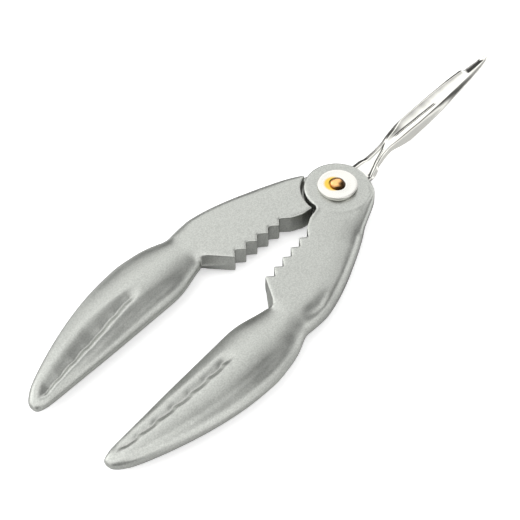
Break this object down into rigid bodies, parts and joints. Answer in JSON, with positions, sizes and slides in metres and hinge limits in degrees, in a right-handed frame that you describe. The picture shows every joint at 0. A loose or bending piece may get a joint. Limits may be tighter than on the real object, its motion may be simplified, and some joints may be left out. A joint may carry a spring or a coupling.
{
  "type": "lobster cracker",
  "caption": "Claw-shaped shellfish cracker: toothed cast arms lapped on a brass rivet, with a polished pressed pick held between the laps.",
  "frame": {"origin": "middle of the flat underside, on the rivet's axis, where the lower washer and the rivet's tail rest on the table", "axes": "+Z along the rivet towards its domed head; +X between the two handles; the right arm is on the +Y side; the pick points along -X"},
  "size_m": [0.2828, 0.0894, 0.0162],
  "materials": {
    "cast_aluminium": "bead-blasted cast surface",
    "polished_steel": "mirror polish",
    "brass": "polished"
  },
  "bodies": {
    "pivot": {"pick": "polished_steel", "pivot_rivet": "brass", "top_washer": "polished_steel", "bottom_washer": "polished_steel"},
    "right_arm": {"right_arm": "cast_aluminium"},
    "left_arm": {"left_arm": "cast_aluminium"}
  },
  "joints": [
    {"name": "right_arm_hinge", "type": "hinge", "parent": "pivot", "child": "right_arm", "pos_m": [0, 0, 0.00725], "axis": [0, 0, 1], "range_deg": [-3.5, 60]},
    {"name": "left_arm_hinge", "type": "hinge", "parent": "pivot", "child": "left_arm", "pos_m": [0, 0, 0.00725], "axis": [0, 0, -1], "range_deg": [-3.5, 60]}
  ]
}
